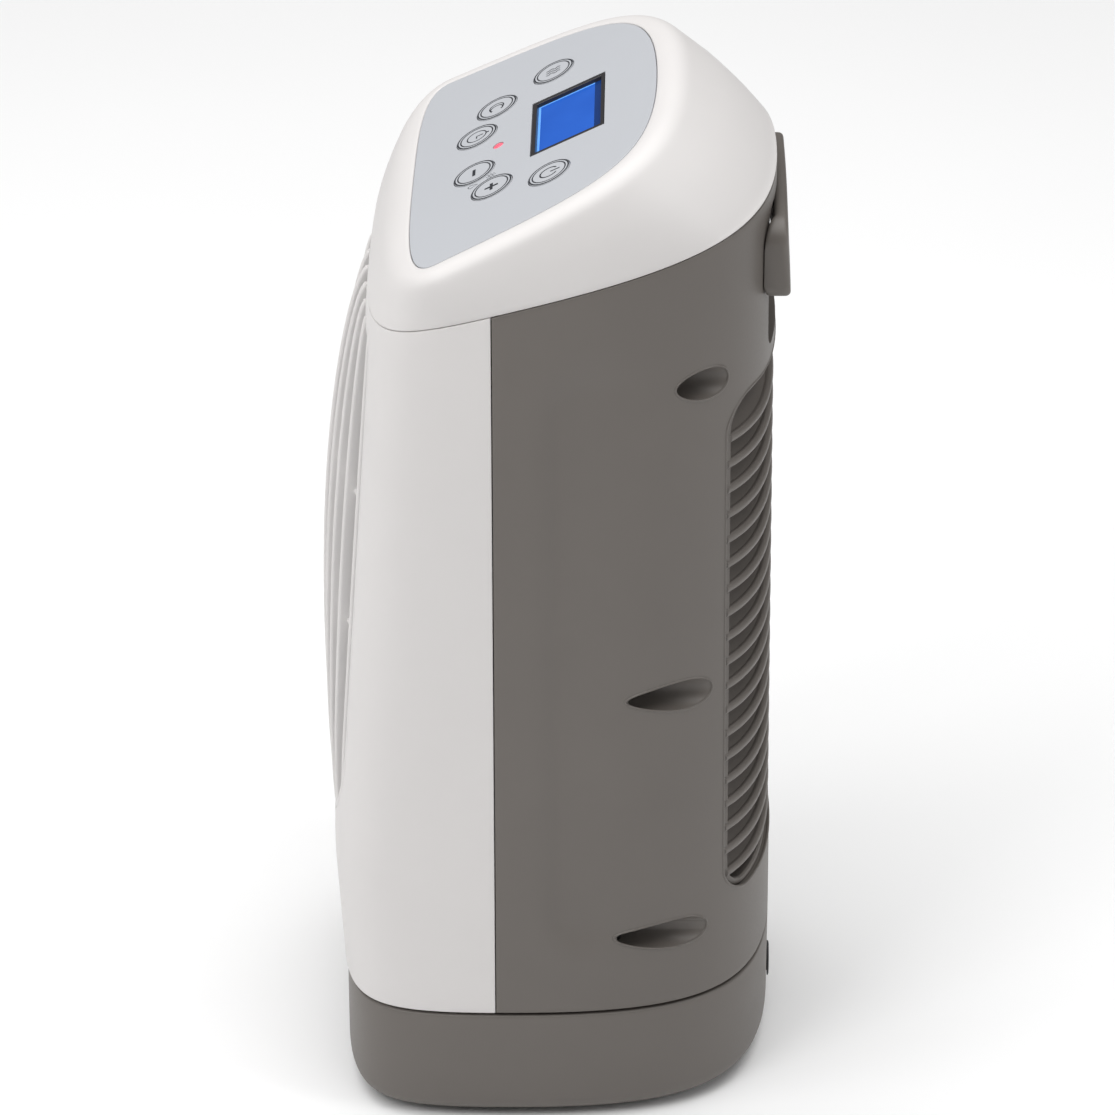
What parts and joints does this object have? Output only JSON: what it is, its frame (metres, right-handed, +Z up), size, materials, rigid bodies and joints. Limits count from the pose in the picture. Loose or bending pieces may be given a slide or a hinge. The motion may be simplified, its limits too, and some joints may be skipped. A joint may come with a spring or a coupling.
{
  "type": "ceramic fan heater",
  "caption": "Portable ceramic tower fan heater that swings on its base, with a sloping key panel, a bowed front outlet grille, a finned rear inlet and a carry handle.",
  "frame": {"origin": "on the floor, on the tower's swing axis, within 2 mm of the centre of the overall plan", "axes": "+Z up, -Y towards the front (air outlet), +Y towards the rear (air inlet and handle), X across the width"},
  "size_m": [0.1648, 0.1624, 0.3736],
  "materials": {
    "white_plastic": "satin moulded",
    "taupe_plastic": "satin moulded",
    "silver_overlay": "satin printed film",
    "key_face": "satin",
    "lcd_blue": "glossy window",
    "led_red": "glossy lens",
    "rubber": "matt",
    "steel": "plain",
    "aluminium": "mill",
    "ceramic": "unglazed ceramic",
    "circuit_board": "solder mask",
    "black_plastic": "moulded",
    "natural_plastic": "moulded acetal"
  },
  "bodies": {
    "base": {"base_shell": "taupe_plastic", "base_bottom_plate": "taupe_plastic", "base_screw_1": "steel", "base_screw_2": "steel", "base_screw_3": "steel", "base_screw_4": "steel", "rubber_foot_1": "rubber", "rubber_foot_2": "rubber", "rubber_foot_3": "rubber", "rubber_foot_4": "rubber", "cord_inlet_bush": "black_plastic", "tip_over_switch": "black_plastic", "swing_motor": "steel", "swing_motor_screw_1": "steel", "swing_motor_screw_2": "steel", "slip_ring": "natural_plastic"},
    "tower": {"carry_handle": "taupe_plastic", "control_board": "circuit_board", "control_overlay": "silver_overlay", "fan_housing": "black_plastic", "fan_motor": "steel", "fan_top_bearing": "natural_plastic", "front_grille": "white_plastic", "front_shell": "white_plastic", "heater_ceramic_bar_1": "ceramic", "heater_ceramic_bar_2": "ceramic", "heater_fin_bank_1": "aluminium", "heater_fin_bank_2": "aluminium", "heater_fin_bank_3": "aluminium", "heater_frame": "black_plastic", "lcd_module": "black_plastic", "lcd_window": "lcd_blue", "led_lens": "led_red", "power_board": "circuit_board", "rear_inlet_grille": "taupe_plastic", "rear_shell": "taupe_plastic", "shell_screw_left_high": "steel", "shell_screw_left_low": "steel", "shell_screw_left_middle": "steel", "shell_screw_right_high": "steel", "shell_screw_right_low": "steel", "shell_screw_right_middle": "steel", "spindle_retainer": "steel", "swing_gear": "natural_plastic", "thermal_cutout": "black_plastic", "top_cap": "white_plastic", "tower_floor": "taupe_plastic"},
    "pinion": {"swing_pinion": "natural_plastic"},
    "fan": {"impeller": "black_plastic", "impeller_shaft": "steel"},
    "key_mode": {"key_mode": "key_face"},
    "key_sleep": {"key_sleep": "key_face"},
    "key_timer": {"key_timer": "key_face"},
    "key_minus": {"key_minus": "key_face"},
    "key_plus": {"key_plus": "key_face"},
    "key_power": {"key_power": "key_face"}
  },
  "joints": [
    {"name": "tower_swing", "type": "hinge", "parent": "base", "child": "tower", "pos_m": [0, 0, 0.045], "axis": [0, 0, 1], "range_deg": [-35, 35]},
    {"name": "pinion_spin", "type": "hinge", "parent": "base", "child": "pinion", "pos_m": [0, 0.0375, 0.038], "axis": [0, 0, 1], "range_deg": [-140, 140]},
    {"name": "fan_spin", "type": "hinge", "parent": "tower", "child": "fan", "pos_m": [-0.006, 0.022, 0.186], "axis": [0, 0, 1], "continuous": true},
    {"name": "key_mode_press", "type": "slide", "parent": "tower", "child": "key_mode", "axis": [0, 0.4472, -0.8944], "range_m": [0, 0.0006], "stiffness_N_per_m": 300, "springref_m": -0.001},
    {"name": "key_sleep_press", "type": "slide", "parent": "tower", "child": "key_sleep", "axis": [0, 0.4472, -0.8944], "range_m": [0, 0.0006], "stiffness_N_per_m": 300, "springref_m": -0.001},
    {"name": "key_timer_press", "type": "slide", "parent": "tower", "child": "key_timer", "axis": [0, 0.4472, -0.8944], "range_m": [0, 0.0006], "stiffness_N_per_m": 300, "springref_m": -0.001},
    {"name": "key_minus_press", "type": "slide", "parent": "tower", "child": "key_minus", "axis": [0, 0.4472, -0.8944], "range_m": [0, 0.0006], "stiffness_N_per_m": 300, "springref_m": -0.001},
    {"name": "key_plus_press", "type": "slide", "parent": "tower", "child": "key_plus", "axis": [0, 0.4472, -0.8944], "range_m": [0, 0.0006], "stiffness_N_per_m": 300, "springref_m": -0.001},
    {"name": "key_power_press", "type": "slide", "parent": "tower", "child": "key_power", "axis": [0, 0.4472, -0.8944], "range_m": [0, 0.0006], "stiffness_N_per_m": 300, "springref_m": -0.001}
  ],
  "couplings": [
    {"joint": "pinion_spin", "follows": "tower_swing", "ratio": -4}
  ]
}
